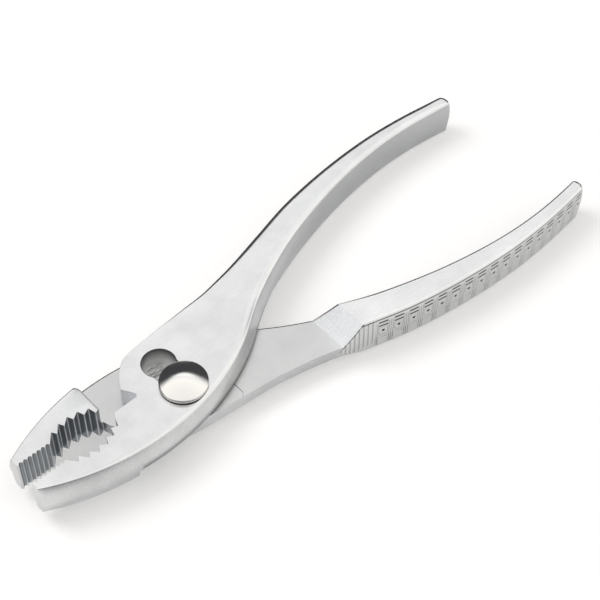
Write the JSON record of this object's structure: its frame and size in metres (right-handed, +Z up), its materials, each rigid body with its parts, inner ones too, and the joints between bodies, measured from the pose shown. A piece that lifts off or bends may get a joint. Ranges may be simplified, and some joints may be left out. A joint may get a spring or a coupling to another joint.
{
  "type": "slip joint pliers",
  "caption": "Slip joint pliers with a half-lap joint, a two-position slotted pivot, toothed pipe grip and curved stamped handles.",
  "frame": {"origin": "on the pivot bolt's axis, at the outer face of the nut, which is the level the pliers rest on", "axes": "+X from the pivot towards the handles along the line midway between them, +Y across the pliers towards the slotted half's handle, +Z up along the pivot bolt, towards its domed head"},
  "size_m": [0.163, 0.0546, 0.0155],
  "materials": {
    "slotted_half_plate": "satin nickel-chrome plate",
    "bolt_half_plate": "satin nickel-chrome plate",
    "bolt_plate": "polished nickel plate",
    "nut_plate": "nickel plate"
  },
  "bodies": {
    "slotted_half": {"slotted_half": "slotted_half_plate"},
    "pivot": {"pivot_bolt": "bolt_plate", "pivot_nut": "nut_plate"},
    "bolt_half": {"bolt_half": "bolt_half_plate"}
  },
  "joints": [
    {"name": "position_shift", "type": "slide", "parent": "slotted_half", "child": "pivot", "axis": [-0.075, 0.9972, 0], "range_m": [0, 0.00878]},
    {"name": "jaw_pivot", "type": "hinge", "parent": "pivot", "child": "bolt_half", "pos_m": [0, 0, 0.006], "axis": [0, 0, 1], "range_deg": [-60, 7.8]}
  ]
}
